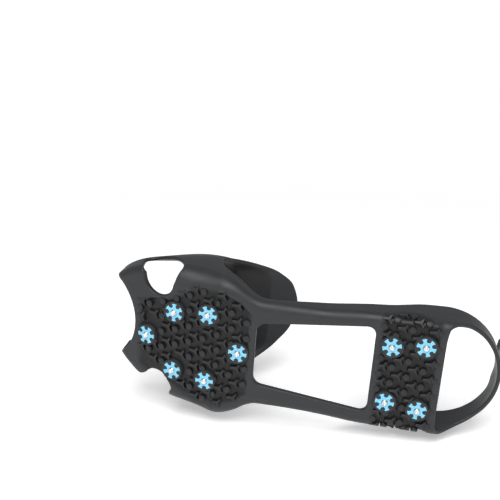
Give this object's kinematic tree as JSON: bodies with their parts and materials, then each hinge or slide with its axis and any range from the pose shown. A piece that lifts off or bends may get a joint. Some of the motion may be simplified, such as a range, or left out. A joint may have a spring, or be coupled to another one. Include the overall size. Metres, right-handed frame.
{
  "type": "shoe ice cleat",
  "caption": "Slip-on rubber ice cleat for a boot, with steel studs in toothed star inserts, a toe hood with side windows, an arch opening, a heel band and a pull tab.",
  "frame": {"origin": "on the ground the studs stand on, under the middle of the whole cleat", "axes": "toe towards -Y, inner side of the foot towards +X, boot above towards +Z"},
  "size_m": [0.1136, 0.2943, 0.109],
  "materials": {
    "rubber": "satin moulded thermoplastic rubber",
    "star_plastic": "light blue moulded plastic",
    "stud_steel": "bright turned steel"
  },
  "bodies": {
    "heel_arch": {"heel_arch_frame": "rubber", "star_heel_front_inner": "star_plastic", "star_heel_front_outer": "star_plastic", "star_heel_rear_inner": "star_plastic", "star_heel_rear_outer": "star_plastic", "stud_heel_front_inner": "stud_steel", "stud_heel_front_outer": "stud_steel", "stud_heel_rear_inner": "stud_steel", "stud_heel_rear_outer": "stud_steel"},
    "forefoot": {"forefoot_pad": "rubber", "toe_hood": "rubber", "star_ball_front_inner": "star_plastic", "star_ball_front_outer": "star_plastic", "star_ball_rear_inner": "star_plastic", "star_ball_rear_outer": "star_plastic", "star_toe_centre": "star_plastic", "star_ball_centre": "star_plastic", "stud_ball_front_inner": "stud_steel", "stud_ball_front_outer": "stud_steel", "stud_ball_rear_inner": "stud_steel", "stud_ball_rear_outer": "stud_steel", "stud_toe_centre": "stud_steel", "stud_ball_centre": "stud_steel"},
    "heel_band": {"heel_band": "rubber"},
    "pull_tab": {"pull_tab": "rubber"}
  },
  "joints": [
    {"name": "sole_flex", "type": "hinge", "parent": "heel_arch", "child": "forefoot", "pos_m": [0, -0.03047, 0.0022], "axis": [-1, 0, 0], "range_deg": [-15, 40], "stiffness_Nm_per_rad": 3},
    {"name": "heel_band_stretch", "type": "hinge", "parent": "heel_arch", "child": "heel_band", "pos_m": [0, 0.09353, 0.0022], "axis": [-1, 0, 0], "range_deg": [0, 45], "stiffness_Nm_per_rad": 0.6},
    {"name": "pull_tab_bend", "type": "hinge", "parent": "heel_band", "child": "pull_tab", "pos_m": [0, 0.13693, 0.03825], "axis": [-1, 0, 0], "range_deg": [-14, 60], "stiffness_Nm_per_rad": 0.15}
  ]
}
